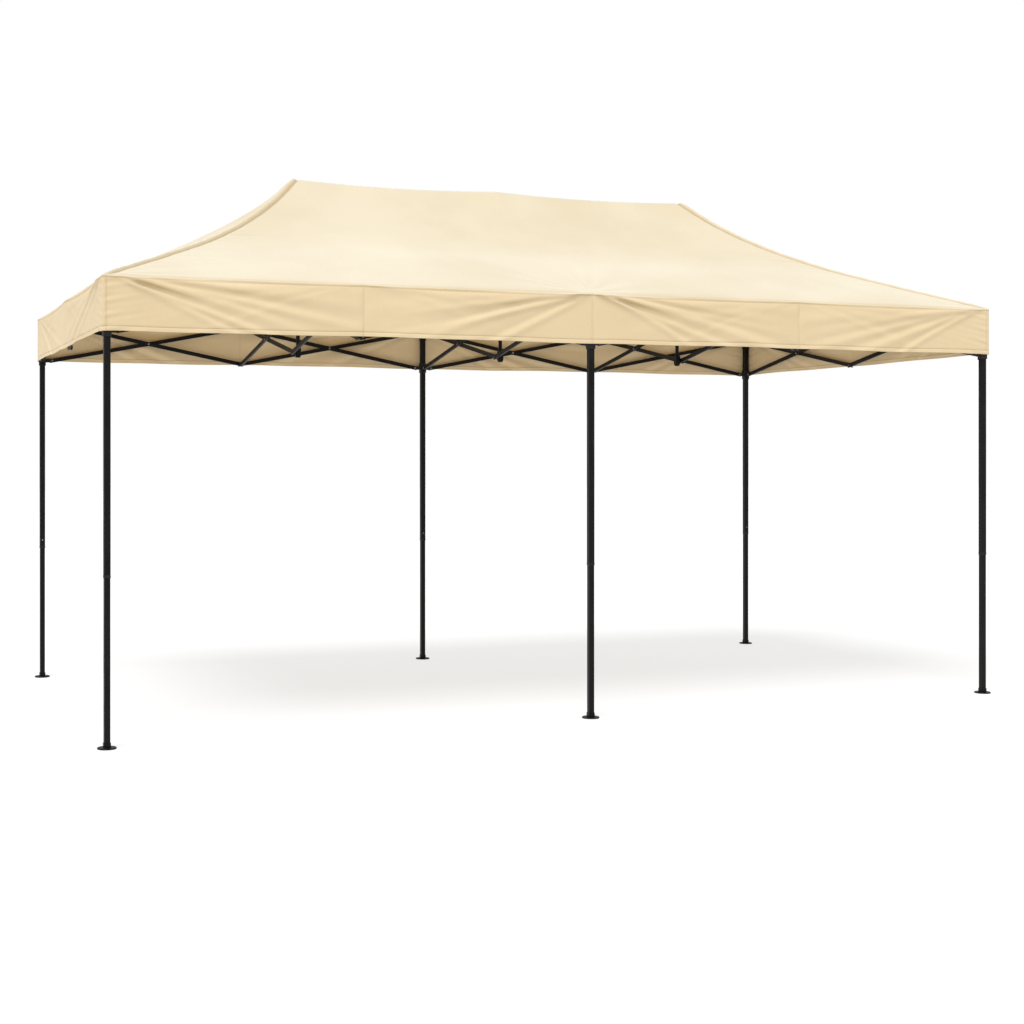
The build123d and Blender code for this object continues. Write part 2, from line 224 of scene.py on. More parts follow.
def make_fabric():
    """Cream coated polyester: a fine weave, faint mottling, darker lines of stitching, painted
    sheen on the roof, painted shade on its underside and a painted shadow beside each hip.
    """
    m = Nodes("cream_polyester")
    mottle = m.spread(m.noise(1.3, 3.0), 0.35, 0.65)
    fine = m.spread(m.noise(55.0, 2.0), 0.3, 0.7)
    facing = m.add("ShaderNodeSeparateXYZ")
    m.link(m.add("ShaderNodeNewGeometry").outputs["Normal"], facing.inputs[0])
    up = facing.outputs[2]  # 1 on a level face, 0 on the valance, below 0 inside the roof
    side = m.mix(mottle, *VALANCE_TONES)
    # painted sheen: the roof takes paler tones than the valance, palest where its face is level
    steep = m.mix(mottle, *STEEP_ROOF_PAINTED_SHEEN_TONES)
    flat = m.mix(mottle, *FLAT_ROOF_PAINTED_SHEEN_TONES)
    top = m.mix(m.spread(up, 0.875, 0.93), steep, flat)
    # painted shade: faces that look down, under the roof, take the darker tones
    painted_shade_underside = m.mix(mottle, *UNDERSIDE_PAINTED_SHADE_TONES)
    cloth = m.mix(m.spread(up, 0.30, 0.75), side, top)
    cloth = m.mix(m.spread(up, -0.30, -0.6), cloth, painted_shade_underside)
    cloth = m.mix(m.math("MULTIPLY", fine, 0.08), cloth, FLECK_TONE)
    # this attribute carries the stitching and also a painted shadow beside each hip's welt, both
    # drawn in the thread's dark colour
    stitch_and_painted_shadow = m.add("ShaderNodeAttribute", attribute_name="stitch_and_painted_shadow").outputs["Fac"]
    x, y, z = m.axes()
    run = m.math("ADD", m.math("ADD", x, y), z)
    wave = m.math("SINE", m.math("MULTIPLY", run, FULL_TURN / STITCH_PITCH))
    dash = m.math("GREATER_THAN", wave, -0.2)  # each stitch is a little longer than its gap
    stitch_and_painted_shadow_mix = m.math("MULTIPLY", stitch_and_painted_shadow, m.math("MULTIPLY_ADD", dash, 0.35, 0.35))
    cloth = m.mix(stitch_and_painted_shadow_mix, cloth, STITCH_AND_PAINTED_SHADOW_TONE)
    creases = m.noise(7.0, 4.0, 0.5, stretch=(1.0, 1.0, 1.6))
    normal = m.bump(creases, 0.006, 0.4)
    normal = m.bump(weave_threads(m, THREAD_PITCH), 0.0002, 0.30, under=normal)
    rough = m.spread(fine, 0.0, 1.0, 0.72, 0.86)
    material = m.finish(Base_Color=cloth, Roughness=rough, Normal=normal, Specular_IOR_Level=0.25)
    m.shader.inputs["Sheen Weight"].default_value = 0.08
    m.shader.inputs["Sheen Roughness"].default_value = 0.5
    return material


def make_coated_steel(name, tone, grain, roughness):
    """Black powder coat: fine orange peel, slight dust, and a little wear."""
    m = Nodes(name)
    dust = m.spread(m.noise(6.0, 4.0), 0.45, 0.75)
    fleck = m.spread(m.noise(grain * 3, 1.0), 0.55, 0.8)
    tint = tuple(min(1.0, c * 2.2 + 0.004) for c in tone)
    base = m.mix(m.math("MULTIPLY", dust, 0.5), tone, tint)
    base = m.mix(m.math("MULTIPLY", fleck, 0.15), base, tint)
    peel = m.noise(grain, 2.0, 0.6)
    normal = m.bump(peel, 0.0004, 0.25)
    rough = m.spread(dust, 0.0, 1.0, roughness, roughness + 0.15)
    return m.finish(Base_Color=base, Roughness=rough, Normal=normal, Specular_IOR_Level=0.16)


def make_plastic():
    """Black moulded plastic with a fine eroded texture."""
    m = Nodes("black_moulded_plastic")
    patch = m.spread(m.noise(14.0, 3.0), 0.4, 0.7)
    base = m.mix(patch, (0.008, 0.008, 0.009), (0.016, 0.016, 0.017))
    grain = m.noise(900.0, 2.0, 0.7)
    normal = m.bump(grain, 0.0002, 0.4)
    rough = m.spread(patch, 0.0, 1.0, 0.5, 0.62)
    return m.finish(Base_Color=base, Roughness=rough, Normal=normal, Specular_IOR_Level=0.25)


def make_rivet_metal():
    """Zinc-plated steel: lathe-fine scratches and a little dulling."""
    m = Nodes("plated_rivet_steel")
    scratch = m.noise(400.0, 3.0, 0.6, stretch=(1.0, 1.0, 0.2))
    dull = m.spread(m.noise(90.0, 2.0), 0.3, 0.7)
    base = m.mix(dull, (0.30, 0.30, 0.295), (0.20, 0.20, 0.195))
    normal = m.bump(scratch, 0.0001, 0.3)
    rough = m.spread(dull, 0.0, 1.0, 0.34, 0.50)
    return m.finish(Base_Color=base, Roughness=rough, Normal=normal, Metallic=1.0)


FABRIC = make_fabric()
LEG_COAT = make_coated_steel("black_leg_powder_coat", (0.0038, 0.0036, 0.0037), 220.0, 0.40)
BAR_COAT = make_coated_steel("black_truss_powder_coat", (0.0036, 0.0035, 0.0036), 260.0, 0.44)
PLASTIC = make_plastic()
RIVET = make_rivet_metal()


def coat_of(node):
    """The finish of a CAD node: sliders and hubs are moulded, the rest is coated steel."""
    if "slider" in node or "hub" in node:
        return PLASTIC
    return LEG_COAT if "leg" in node else BAR_COAT


for node, piece in NODES.items():
    piece.data.materials.clear()
    piece.data.materials.append(coat_of(node))


# ---- canopy top ----------------------------------------------------------------------------------
HIP_INSETS = [0.0, 0.45, 0.80, 1.12, 1.32, 1.488]  # distances in from the eave
HIP_HEIGHTS = [2.574, 2.759, 2.917, 3.108, 3.263, 3.426]
POLE_X = {"left": -HALF_BAY, "middle": 0.0, "right": HALF_BAY}
EAVE_Z = HIP_HEIGHTS[0]
RIDGE_INSET = HIP_INSETS[-1]
VALANCE = EAVE_Z - HEM_Z
FABRIC_THICKNESS = 0.0012
HEM_HEIGHT = 0.026
LONG_SIDES = ("front", "back")
LONG_SEAMS = tuple(POLE_X.values())
SHORT_SEAMS = (0.0,)

COLUMN_STEP = 0.022
CORNER_STEPS = (0.0, 0.004, 0.008, 0.013, 0.019, 0.026, 0.035)  # columns beside a corner
SEAM_STEPS = CORNER_STEPS[:4]  # columns to each side of a seam
SEAM_BAND = 0.045  # columns this close to a corner keep their distance to it
SEAM_ROOM = 0.02  # no evenly spaced column comes closer to a seam
ROOF_RINGS = 120
VALANCE_STEPS = 34

# how far the roof stands off the surface that its hips span, and how fast that fades
RIDGE_SAG, RIDGE_SAG_REACH = 0.020, 0.35
LONG_FULLNESS, END_FULLNESS = 0.022, 0.060
LONG_EAVE_SAG, END_EAVE_SAG, EAVE_SAG_REACH = 0.006, 0.019, 0.022
HIP_PUCKER, HIP_PUCKER_REACH = 0.0016, 0.16
LEG_CREASE, LEG_CREASE_REACH = 0.0022, 0.45


def smooth_profile(inset):
    """The hips' height at a distance in from the eave, through the profile's points, smoothly."""
    xs, zs = np.array(HIP_INSETS), np.array(HIP_HEIGHTS)
    slopes = np.gradient(zs, xs)
    i = np.clip(np.searchsorted(xs, inset, side="right") - 1, 0, len(xs) - 2)
    h = xs[i + 1] - xs[i]
    u = np.clip((inset - xs[i]) / h, 0, 1)
    a, b = (1 + 2 * u) * (1 - u) ** 2, u * (1 - u) ** 2
    c, d = u * u * (3 - 2 * u), u * u * (u - 1)
    return a * zs[i] + b * h * slopes[i] + c * zs[i + 1] + d * h * slopes[i + 1]


def side_columns(half, seams):
    """Column positions along one side of the top, from -half to half, closer together at seams."""
    places = {round(s * (half - n), 5) for s in (-1, 1) for n in (*CORNER_STEPS, SEAM_BAND)}
    for seam in seams:
        places |= {round(seam + s * n, 5) for s in (-1, 1) for n in SEAM_STEPS}
    inner = half - SEAM_BAND
    count = round(2 * inner / COLUMN_STEP)
    for k in range(1, count):
        x = -inner + 2 * inner * k / count
        if all(abs(x - seam) > SEAM_ROOM for seam in seams):
            places.add(round(x, 5))
    return np.array(sorted(places))


def drawn_in(places, half, inset):
    """Where a side's columns stand on the ring at this inset: those by a hip keep to the hip."""
    now = max(half - inset, 1e-4)
    reach = min(SEAM_BAND, 0.3 * now)
    scale = (now - reach) / (half - SEAM_BAND)
    edge = half - np.abs(places)
    by_hip = np.sign(places) * (now - edge * reach / SEAM_BAND)
    return np.where(edge < SEAM_BAND - 1e-6, by_hip, places * scale)


def roof_height(x, y):
    """The sheet's height: the hips' profile, full panels, sagging eaves and ridge, and creases."""
    edge_x, edge_y = HALF_X - np.abs(x), HALF_Y - np.abs(y)
    inset = np.clip(np.minimum(edge_x, edge_y), 0, RIDGE_INSET)
    z = smooth_profile(inset)
    # the ridge hangs between the poles, and each pole holds up a small cone
    between = np.mod(np.clip(np.abs(x), 0, HALF_BAY - 1e-9), HALF_BAY) / HALF_BAY
    ridge_sag = 4 * between * (1 - between) * np.exp(-(RIDGE_INSET - inset) / RIDGE_SAG_REACH)
    z -= RIDGE_SAG * ridge_sag
    # the panels are cut fuller than the hips, so each stands a little above its hips
    along = np.clip(np.abs(x) / np.maximum(HALF_X - inset, 0.05), 0, 1)
    share = inset / RIDGE_INSET
    on_long = edge_y <= edge_x
    belly = np.sin(math.pi * share) * (1 - share) * 1.6
    bay = 0.8 * np.sin(math.pi * along) + 0.25 * np.cos(math.pi * along / 2)
    z += np.where(on_long, LONG_FULLNESS * belly * bay, 0)
    across = np.clip(np.abs(y) / np.maximum(HALF_Y - inset, 0.05), 0, 1)
    z += np.where(on_long, 0, END_FULLNESS * np.sin(math.pi * share) * (1 - across**2))
    # the eaves hang a little between a leg and the middle of a bay, more on the short sides
    span = np.where(on_long, np.mod(np.abs(x), HALF_BAY), np.abs(y)) / HALF_BAY
    hang = 4 * span * (1 - span)
    depth = np.where(on_long, LONG_EAVE_SAG, END_EAVE_SAG)
    z -= depth * np.clip(hang, 0, 1) * np.exp(-inset / EAVE_SAG_REACH)
    # puckers that run square to each hip, and fine tension creases round each leg
    to_hip = np.abs(edge_x - edge_y) / math.sqrt(2)
    up_hip = np.minimum(edge_x, edge_y)
    ripple = np.sin(up_hip * 71 + 2.2 * np.sin(up_hip * 9)) * np.sin(up_hip * 23 + 1.0)
    z += HIP_PUCKER * ripple * np.exp(-to_hip / HIP_PUCKER_REACH) * np.clip(up_hip / 0.1, 0, 1)
    for cx in (-LEG_X, 0.0, LEG_X):
        for cy in (-LEG_Y, LEG_Y):
            dx, dy = x - cx, y - cy
            far = np.hypot(dx, dy)
            angle = np.arctan2(dy, dx)
            fade = np.exp(-far / LEG_CREASE_REACH) * np.clip(far / 0.12, 0, 1)
            z += LEG_CREASE * fade * np.sin(17 * angle + 1.3 * np.sin(5 * angle) + cx)
    return z


random.seed(7)

LEG_FOLDS = (0.20, 0.46, 0.78, 1.20, 1.75, 2.6)  # each fold's fall by mid-bay, in valance heights
MIDDLE_FOLDS = (0.35, 0.9, 1.7)  # fainter ones that start at mid-bay and fall towards a leg
MIDDLE_FOLD_GAIN = 0.26
FOLD_WIDTH_UNIT = 0.30  # a fold's width is stated for a valance of this height
FLARE, BULGE = 0.0025, 0.003  # how far the valance's hem stands out all along, and at mid-bay
RIPPLE = 0.0016
DEEPEST = -0.006  # no fold goes further in than this


def fold_family(reaches):
    """Long soft folds that start at a leg's top and run down across half a bay of valance."""
    return [
        {
            "reach": reach * random.uniform(0.85, 1.15),
            "bend": random.uniform(1.0, 1.4),
            "width": random.uniform(0.009, 0.014),
            "spread": random.uniform(0.018, 0.034),
            "height": random.uniform(0.005, 0.0095),
            "end": random.uniform(0.8, 1.4),
        }
        for reach in reaches
    ]


HALF_BAY_FOLDS = {}  # each half-bay's folds, drawn when it is first met


def valance_relief(key, u, down):
    """How far the valance stands out at u and down.

    u is 0 at a leg and 1 at mid-bay, and down is 0 at the eave and 1 at the hem.
    """
    if key not in HALF_BAY_FOLDS:
        families = fold_family(LEG_FOLDS), fold_family(MIDDLE_FOLDS)
        HALF_BAY_FOLDS[key] = (*families, random.uniform(0, 6))
    from_leg, from_middle, phase = HALF_BAY_FOLDS[key]
    out = FLARE * down + BULGE * math.sin(math.pi * u) * down
    for family, way, gain in ((from_leg, u, 1.0), (from_middle, 1 - u, MIDDLE_FOLD_GAIN)):
        for f in family:
            line = f["reach"] * way ** f["bend"]
            width = (f["width"] + f["spread"] * way) / FOLD_WIDTH_UNIT
            rise = min(1.0, way / 0.10) * max(0.0, 1 - (way / f["end"]) ** 3)
            away = (down - line) / width
            crest = math.exp(-away * away) - 0.55 * math.exp(-(away + 1.6) ** 2)
            out += gain * f["height"] * rise * crest
    ripple = math.sin(u * 23 + phase + 3 * down) * math.sin(u * 9.0 + phase)
    return max(out + RIPPLE * ripple * down, DEEPEST)


def half_bay(position, legs):
    """Which half-bay a place on the valance is in, and how far from its leg (0) to mid-bay (1)."""
    leg = min(legs, key=lambda place: abs(position - place))
    u = min(1.0, abs(position - leg) / HALF_BAY)
    return (leg, position > leg), u


def groove(distance, width):
    """1 on a line and 0 away from it, with a smooth edge."""
    return math.exp(-((distance / width) ** 2))


def ring_points(inset):
    """One closed ring of the sheet in plan, anticlockwise from the front left corner."""
    long_x = drawn_in(LONG_COLUMNS, HALF_X, inset)
    short_y = drawn_in(SHORT_COLUMNS, HALF_Y, inset)
    y_now, x_now = max(HALF_Y - inset, 0.0), HALF_X - inset
    front = [(x, -y_now) for x in long_x[:-1]]
    right = [(x_now, y) for y in short_y[:-1]]
    back = [(x, y_now) for x in long_x[:0:-1]]
    left = [(-x_now, y) for y in short_y[:0:-1]]
    return front + right + back + left


LONG_COLUMNS = side_columns(HALF_X, LONG_SEAMS)
SHORT_COLUMNS = side_columns(HALF_Y, SHORT_SEAMS)


def ring_sides():
    """For each column of a ring: its side, its place along that side and the side's half length."""
    sides = [("front", x, HALF_X) for x in LONG_COLUMNS[:-1]]
    sides += [("right", y, HALF_Y) for y in SHORT_COLUMNS[:-1]]
    sides += [("back", x, HALF_X) for x in LONG_COLUMNS[:0:-1]]
    sides += [("left", y, HALF_Y) for y in SHORT_COLUMNS[:0:-1]]
    return sides


OUTWARD = {"front": (0, -1), "right": (1, 0), "back": (0, 1), "left": (-1, 0)}
BELOW_EAVE_ROWS = {0.012, 0.024, 0.040}  # shares of the valance
ABOVE_HEM_ROWS = (HEM_HEIGHT + 0.004, HEM_HEIGHT, HEM_HEIGHT - 0.004, 0.003)
VALANCE_ROWS = sorted(
    {k / VALANCE_STEPS for k in range(1, VALANCE_STEPS + 1)}
    | BELOW_EAVE_ROWS
    | {1 - n / VALANCE for n in ABOVE_HEM_ROWS}
)
CALM_CORNER = 0.18  # the folds fade out this close to a corner
SHORT_SIDE_FOLDS = 0.6
CORNER_PUCKER, CORNER_PUCKER_REACH = 0.0034, 0.13
HEM_STEP = 0.0016  # the hem's folded layers, and the groove of the stitching over them
EAVE_ROLL, EAVE_GROOVE, EAVE_STITCH = 0.0022, 0.0012, 0.012
SEAM_GROOVE = 0.0010
CORNER_LAYER, CORNER_LAYER_WIDTH = 0.0012, 0.025
HEM_LIFT = 0.004
STITCH_WIDTH = 0.0022


def valance_point(side, place, half, down, eave_z):
    """A point of the valance and its stitching, from the eave (down 0) to the hem (down 1)."""
    on_long = side in LONG_SIDES
    legs = (-LEG_X, 0.0, LEG_X) if on_long else (-LEG_Y, LEG_Y)
    key, u = half_bay(place, legs)
    corner = half - abs(place)
    seam = min(abs(place - s) for s in (LONG_SEAMS if on_long else SHORT_SEAMS))
    below_eave, above_hem = down * VALANCE, (1 - down) * VALANCE
    calm = min(1.0, corner / CALM_CORNER) * (1 - 0.6 * groove(seam, 0.02))
    calm *= 1.0 if on_long else SHORT_SIDE_FOLDS
    out = valance_relief((side, key), u, down) * calm
    pucker = math.sin(38 * down + 3 * corner / 0.1 + len(side)) * math.sin(11 * down)
    near = math.exp(-corner / CORNER_PUCKER_REACH)
    out += CORNER_PUCKER * pucker * near * min(1.0, corner / 0.03)
    out += HEM_STEP * ((above_hem < HEM_HEIGHT) - groove(above_hem - HEM_HEIGHT, 0.004))
    out += EAVE_ROLL * groove(below_eave - 0.004, 0.006)
    out -= EAVE_GROOVE * groove(below_eave - EAVE_STITCH, 0.004)
    out -= SEAM_GROOVE * groove(seam, 0.005)
    out += CORNER_LAYER * (corner < CORNER_LAYER_WIDTH)
    z = eave_z - down * (eave_z - HEM_Z)
    sway = 0.0025 * math.sin(place * 2.7 + len(side)) + 0.0015 * math.sin(place * 7.9)
    z += down * (HEM_LIFT + sway) * min(1.0, corner / 0.1)
    stitch_and_painted_shadow = max(
        groove(above_hem - HEM_HEIGHT, STITCH_WIDTH),
        0.35 * groove(seam - 0.004, STITCH_WIDTH),
        0.6 * groove(corner - 0.020, 0.0025),
        0.6 * groove(below_eave - EAVE_STITCH, STITCH_WIDTH),
    )
    return out, z, stitch_and_painted_shadow


HIP_BEAD, HIP_BEAD_WIDTH = 0.009, 0.008  # the welt along each hip seam
HIP_GROOVE, HIP_GROOVE_WIDTH, HIP_GROOVE_AT = 0.007, 0.007, 0.020  # the fabric dips beside it
HIP_END = 0.06  # welt and groove fade out this close to the eave
PEAK_END = 0.05  # and the welt thins this close to the peak
EAVE_RINGS = [0.012, 0.008, 0.004, 0.0]


def build_top():
    """The top as one sheet: roof rings from the ridge to the eave, then the valance to its hem."""
    sides = ring_sides()
    insets = [RIDGE_INSET * (1 - k / ROOF_RINGS) for k in range(ROOF_RINGS)]
    insets = insets[:-1] + EAVE_RINGS
    points, stitch_and_painted_shadow_marks = [], []
    for inset in insets:
        plan = np.array(ring_points(min(inset, RIDGE_INSET - 1e-4)))
        x, y = plan[:, 0], plan[:, 1]
        z = roof_height(x, y)
        edge = np.abs((HALF_X - np.abs(x)) - (HALF_Y - np.abs(y))) / math.sqrt(2)
        fade = min(1.0, inset / HIP_END)
        bead = np.exp(-((edge / HIP_BEAD_WIDTH) ** 2)) * fade
        bead *= 0.4 + 0.6 * min(1.0, (RIDGE_INSET - inset) / PEAK_END)
        dip = np.exp(-(((edge - HIP_GROOVE_AT) / HIP_GROOVE_WIDTH) ** 2)) * fade
        z = z + bead * HIP_BEAD - dip * HIP_GROOVE
        # painted shadow: a broad dark band just beside each hip's welt, where the welt would shade
        # the roof, stored with the stitching
        hip_painted_shadow = 1.9 * np.exp(-(((edge - 0.019) / 0.009) ** 2)) * (inset > 0.02)
        points += [(px, py, pz) for (px, py), pz in zip(plan, z)]
        stitch_and_painted_shadow_marks += list(0.7 * hip_painted_shadow + 0.5 * groove(inset - 0.010, 0.003))
    count = len(sides)
    eave = points[-count:]
    for down in VALANCE_ROWS:
        for (side, place, half), (ex, ey, ez) in zip(sides, eave):
            out, z, stitch_and_painted_shadow = valance_point(side, float(place), half, down, ez)
            ox, oy = OUTWARD[side]
            points.append((ex + ox * out, ey + oy * out, z))
            stitch_and_painted_shadow_marks.append(stitch_and_painted_shadow)
    faces = []
    for r in range(len(points) // count - 1):
        low, high = r * count, (r + 1) * count
        for c in range(count):
            d = (c + 1) % count
            faces.append((low + c, high + c, high + d, low + d))
    mesh = bpy.data.meshes.new("canopy_top")
    mesh.from_pydata(points, [], faces)
    layer = mesh.attributes.new("stitch_and_painted_shadow", "FLOAT", "POINT")
    layer.data.foreach_set("value", np.array(stitch_and_painted_shadow_marks, np.float32))
    return mesh


def tidy_sheet(mesh):
    """Joins the ridge's two edges and the hips' collapsed ends, and makes the faces face out."""
    bm = bmesh.new()
    bm.from_mesh(mesh)
    high = [v for v in bm.verts if v.co.z > PEAK_Z - 0.08]
    bmesh.ops.remove_doubles(bm, verts=high, dist=0.0012)
    bmesh.ops.dissolve_degenerate(bm, edges=bm.edges, dist=0.00002)
    bmesh.ops.recalc_face_normals(bm, faces=bm.faces)
    top = max(bm.faces, key=lambda f: f.calc_center_median().z + 0.1 * abs(f.normal.z))
    if top.normal.z < 0:
        bmesh.ops.reverse_faces(bm, faces=bm.faces)
    for face in bm.faces:
        face.smooth = True
    bm.to_mesh(mesh)
    bm.free()


def leg_shares(x, y):
    """How much each leg moves a place in plan: linear between the legs of a bay."""
    x = min(max(x, -LEG_X), LEG_X)
    y = min(max(y, -LEG_Y), LEG_Y)
    v = (y + LEG_Y) / (2 * LEG_Y)
    u = abs(x) / LEG_X
    outer = "left" if x < 0 else "right"
    shares = {}
    for row, share in (("front", 1 - v), ("back", v)):
        shares[row, outer] = shares.get((row, outer), 0.0) + share * u
        shares[row, "middle"] = share * (1 - u)
    return shares


LEVEL_RIM = 0.020  # the roof's lowest part, which stays at its height as the frame folds
LIFT_KEPT = 0.683  # the share of a peak pole's drop that the ridge follows, to lie on the bundle


def pole_shares(x, z):
    """How much each peak pole moves a place on the roof."""
    lift = LIFT_KEPT * min(max((z - EAVE_Z - LEVEL_RIM) / (PEAK_Z - EAVE_Z - LEVEL_RIM), 0.0), 1.0)
    x = min(max(x, -HALF_BAY), HALF_BAY)
    side = "left" if x < 0 else "right"
    u = abs(x) / HALF_BAY
    return {side: lift * u, "middle": lift * (1 - u)}


def follow_frame(piece):
    """Hooks a fabric piece to the legs and peak poles, so that it draws in as the frame folds."""
    groups = {}

    def weigh(body, index, share):
        if share > 1e-4:
            if body not in groups:
                groups[body] = piece.vertex_groups.new(name=body)
            groups[body].add([index], share, "REPLACE")

    for vertex in piece.data.vertices:
        x, y, z = vertex.co
        legs = leg_shares(x, y)
        for side, lift in pole_shares(x, z).items():
            weigh(f"{side}_peak_pole", vertex.index, lift)
            for leg, share in leg_shares(POLE_X[side], 0.0).items():
                legs[leg] = legs.get(leg, 0.0) - lift * share
        for (row, column), share in legs.items():
            weigh(f"{row}_{column}_upper_leg", vertex.index, share)
    for body, group in groups.items():
        if body == ROOT:
            continue
        hook = piece.modifiers.new(f"follow_{body}", "HOOK")
        hook.object = BODIES[body]
        hook.vertex_group = group.name
        hook.falloff_type = "NONE"
        hook.matrix_inverse = BODIES[body].matrix_world.inverted() @ piece.matrix_world


def add_object(name, mesh, material, body=None):
    """A new object in the scene, which rides on a body if one is named."""
    piece = bpy.data.objects.new(name, mesh)
    bpy.context.scene.collection.objects.link(piece)
    mesh.materials.append(material)
    if body:
        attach(piece, body)
    return piece


def make_canopy_top():
    mesh = build_top()
    tidy_sheet(mesh)
    top = add_object("canopy_top", mesh, FABRIC)
    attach(top, ROOT)
    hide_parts("canopy_cover")
    follow_frame(top)
    thickness = top.modifiers.new("cloth_thickness", "SOLIDIFY")
    thickness.thickness = FABRIC_THICKNESS
    thickness.offset = -1.0
    return top


make_canopy_top()


# ---- pins, rivets and plugs ----------------------------------------------------------------------
PIN_Z = (PIN_LOW_Z, PIN_TOP_Z)
CROSS_Z = (PIN_LOW_Z + PIN_TOP_Z) / 2
TURNED_SIDES = 20


def truss_lines():
    """Every truss as (along, fixed coordinate, start, crossed pairs, bar name, ends forked)."""
    lines = []
    for row, y in (("front", -LEG_Y), ("back", LEG_Y)):
        lines.append(("x", y, -LEG_X, 4, f"{row}_truss_bar", False))
    for side, x in (("left", -LEG_X), ("right", LEG_X)):
        lines.append(("y", x, -LEG_Y, 2, f"{side}_truss_bar", False))
    for side, x in POLE_X.items():
        lines.append(("y", x, -LEG_Y, 2, f"{side}_cross_bar", side != "middle"))
    return lines


def pair_ends(start, pair):
    """Where a crossed pair's two outer pins stand along its truss."""
    first = start + 2 * HALF_BAY * (pair // 2) + (HALF_BAY if pair % 2 else ARM)
    return first, first + BAR_SPAN


def place_on(along, fixed, run, z):
    """The point at that run along a truss whose other coordinate is fixed."""
    return Vector((run, fixed, z)) if along == "x" else Vector((fixed, run, z))


def pins():
    """Every pin's place and axis."""
    found = []
    for along, fixed, start, pairs, _, _ in truss_lines():
        axis = Vector((0, 1, 0)) if along == "x" else Vector((1, 0, 0))
        for pair in range(pairs):
            first, last = pair_ends(start, pair)
            for run in (first, last):
                found += [(place_on(along, fixed, run, z), axis) for z in PIN_Z]
            found.append((place_on(along, fixed, (first + last) / 2, CROSS_Z), axis))
    return found


def ring_faces(rings, sides, closed=False):
    """The quads between rings of so many points each, which also join last to first if closed."""
    faces = []
    for r in range(rings if closed else rings - 1):
        low, high = r * sides, (r + 1) % rings * sides
        for k in range(sides):
            n = (k + 1) % sides
            faces.append((low + k, low + n, high + n, high + k))
    return faces


def capped_faces(rings, sides):
    """ring_faces with a face over each end."""
    faces = ring_faces(rings, sides)
    faces.append(tuple(reversed(range(sides))))
    faces.append(tuple((rings - 1) * sides + k for k in range(sides)))
    return faces


def turned(profile, at, axis):
    """A turned shape's points and faces: profile is (radius, height) pairs along the axis."""
    turn = axis.to_track_quat("Z", "Y").to_matrix()
    points = []
    for radius, height in profile:
        for k in range(TURNED_SIDES):
            a = FULL_TURN * k / TURNED_SIDES
            points.append(at + turn @ Vector((radius * math.cos(a), radius * math.sin(a), height)))
    return points, capped_faces(len(profile), TURNED_SIDES)


def face_outward(mesh, smooth):
    """Turns every face out and sets its shading."""
    bm = bmesh.new()
    bm.from_mesh(mesh)
    bmesh.ops.recalc_face_normals(bm, faces=bm.faces)
    for face in bm.faces:
        face.smooth = smooth
    bm.to_mesh(mesh)
    bm.free()


class Batch:
    """Collects shapes that share one body and one material into a single mesh."""

    def __init__(self):
        self.points, self.faces = [], []

    def take(self, shape):
        points, faces = shape
        first = len(self.points)
        self.points += points
        self.faces += [tuple(first + i for i in face) for face in faces]

    def place(self, name, material, body, smooth=True):
        mesh = bpy.data.meshes.new(name)
        mesh.from_pydata([tuple(p) for p in self.points], [], self.faces)
        face_outward(mesh, smooth)
        return add_object(name, mesh, material, body)


# a rivet's domed head as (radius, height) pairs, with a small dimple in the middle
HEAD_PROFILE = [(0.0072, 0.0), (0.0074, 0.0007), (0.0068, 0.0016), (0.0052, 0.0026)]
HEAD_PROFILE += [(0.0030, 0.0031), (0.0016, 0.0031), (0.0012, 0.0024), (0.0003, 0.0024)]
# where a plain CAD head is looked for round its pin: the radii of its rim, how far along the pin
# it may and must be, how flat it is and how many points its rim has
HEAD_RADII = (0.0052, 0.0073)
HEAD_FARTHEST, HEAD_NEAREST = 0.024, 0.0085
HEAD_FLATNESS = 0.0002
HEAD_POINTS = 8
PIN_MARGIN = 0.03
RECORD_BODIES = frame["record"]["behaviour"]["bodies"]
NODE_BODY = {node: body for body, nodes in RECORD_BODIES.items() for node in nodes}


def pin_heads(piece, at, axis):
    """How far along a pin's axis a piece has heads, and which of its points make them up."""
    mesh = piece.data
    flat = np.empty(len(mesh.vertices) * 3)
    mesh.vertices.foreach_get("co", flat)
    away = flat.reshape(-1, 3) + np.array(piece.matrix_world.translation - at)
    run = away @ np.array(axis)
    radial = np.linalg.norm(away - np.outer(run, np.array(axis)), axis=1)
    rim = (radial > HEAD_RADII[0]) & (radial < HEAD_RADII[1]) & (np.abs(run) < HEAD_FARTHEST)
    if rim.sum() < 2 * HEAD_POINTS:
        return [], rim
    tips = []
    for way in (-1, 1):
        reach = (run[rim] * way).max()
        level = np.abs(run[rim] * way - reach) < HEAD_FLATNESS
        if reach > HEAD_NEAREST and level.sum() >= HEAD_POINTS:
            tips.append(way * reach)
    return tips, rim


def add_rivets():
    """Domed plated heads over each pin's plain ones, which also take the plated finish."""
    for node, piece in NODES.items():
        if "canopy" in node or "lower_leg" in node:
            continue
        low, high = (Vector(corner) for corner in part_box(node))
        batch, plated = Batch(), False
        for at, axis in pins():
            if any(not low[i] - PIN_MARGIN <= at[i] <= high[i] + PIN_MARGIN for i in range(3)):
                continue
            tips, rim = pin_heads(piece, at, axis)
            for tip in tips:
                batch.take(turned(HEAD_PROFILE, at + axis * tip, axis * math.copysign(1, tip)))
            if tips:
                if not plated:
                    piece.data.materials.append(RIVET)
                    plated = True
                for face in piece.data.polygons:
                    if all(rim[v] for v in face.vertices):
                        face.material_index = 1
        if batch.points:
            batch.place(f"{node}_rivet_heads", RIVET, NODE_BODY[node])


# a plug's outline at each depth from the bar's end, and how much it stands out from the bar
PLUG_STEPS = [(0.0, 0.0003), (0.0016, 0.0003), (0.0026, -0.0007), (0.0032, -0.0022)]
PLUG_CORNER = 0.0018


